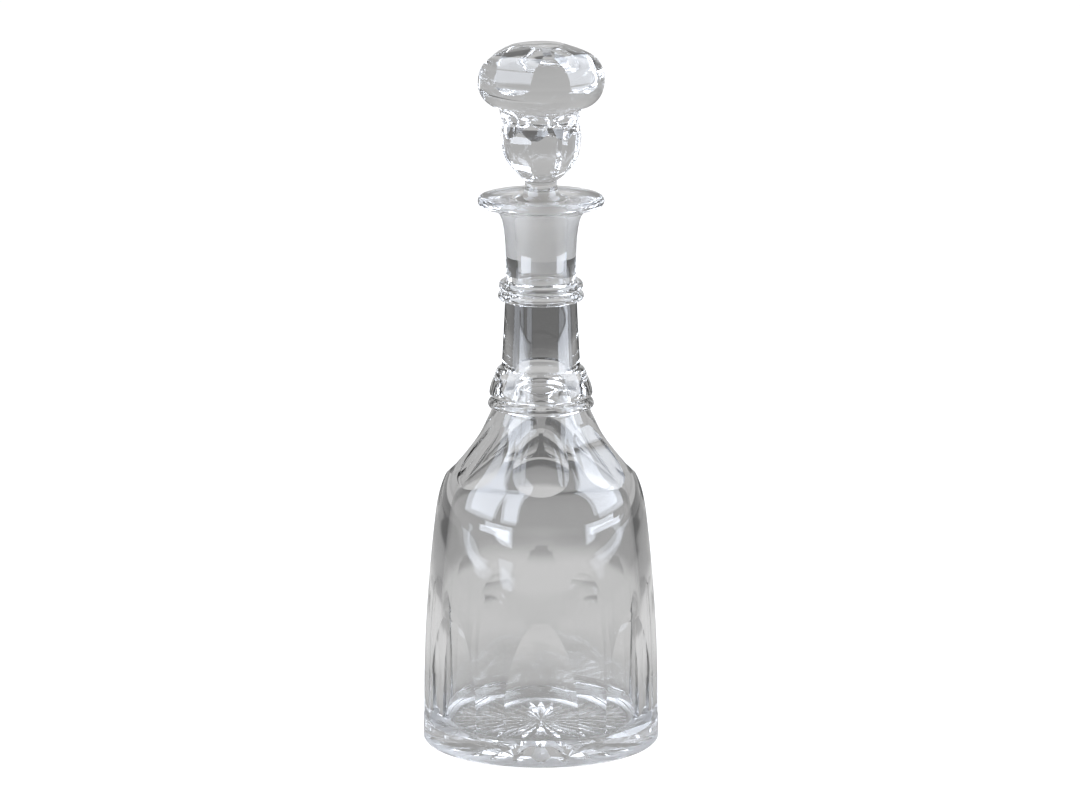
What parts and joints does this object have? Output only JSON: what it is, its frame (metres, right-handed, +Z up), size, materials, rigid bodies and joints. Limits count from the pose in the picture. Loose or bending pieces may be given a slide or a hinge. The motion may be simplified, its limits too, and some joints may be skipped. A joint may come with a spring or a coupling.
{
  "type": "decanter",
  "caption": "Cut glass decanter with fluted shoulder and body, star-cut base, ringed neck, wide lip and a lift-out mushroom stopper.",
  "frame": {"origin": "middle of the base, on the table", "axes": "+Z up along the decanter's axis, -Y towards the viewer through the middle of one flute"},
  "size_m": [0.1, 0.1, 0.2979],
  "materials": {
    "vessel_glass": "clear lead glass, fire-polished outside and in, with polished cuts and a ground bore",
    "stopper_glass": "clear lead glass, facet cut and polished, with a ground plug"
  },
  "bodies": {
    "vessel": {"vessel": "vessel_glass", "lower_neck_bead": "vessel_glass", "lower_neck_collar": "vessel_glass", "upper_neck_ring": "vessel_glass"},
    "stopper": {"stopper": "stopper_glass"}
  },
  "joints": [
    {"name": "stopper_lift", "type": "slide", "parent": "vessel", "child": "stopper", "axis": [0, 0, 1], "range_m": [0, 0.06]}
  ]
}
